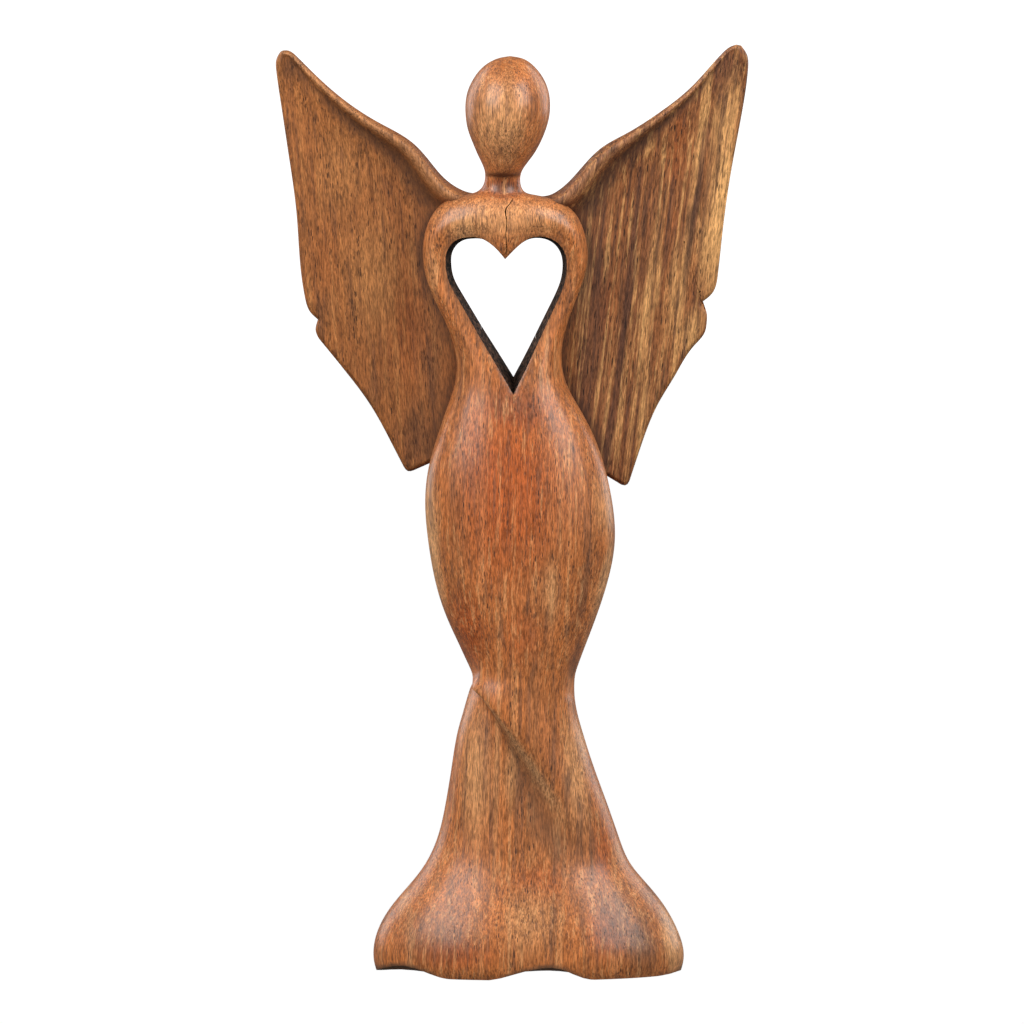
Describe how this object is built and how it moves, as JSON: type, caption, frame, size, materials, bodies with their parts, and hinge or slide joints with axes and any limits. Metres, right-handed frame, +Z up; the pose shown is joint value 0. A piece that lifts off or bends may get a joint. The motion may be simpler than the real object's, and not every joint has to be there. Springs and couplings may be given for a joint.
{
  "type": "carved wooden figurine",
  "caption": "Standing carved wooden angel with swept board wings, arms closed round a heart-shaped opening, and a twisted gown that flares into a wavy foot.",
  "frame": {"origin": "on the ground plane, under the middle of the object's bounding box", "axes": "+Z up from the foot to the wing tips, the figure faces -Y, and +X points to the right as seen from the front"},
  "size_m": [0.1524, 0.0582, 0.2983],
  "materials": {
    "figure_wood": "satin",
    "wing_wood": "satin",
    "dowel_wood": "bare"
  },
  "bodies": {
    "root": {"figure": "figure_wood", "left_wing": "wing_wood", "right_wing": "wing_wood", "left_wing_upper_dowel": "dowel_wood", "left_wing_lower_dowel": "dowel_wood", "right_wing_upper_dowel": "dowel_wood", "right_wing_lower_dowel": "dowel_wood"}
  },
  "joints": []
}
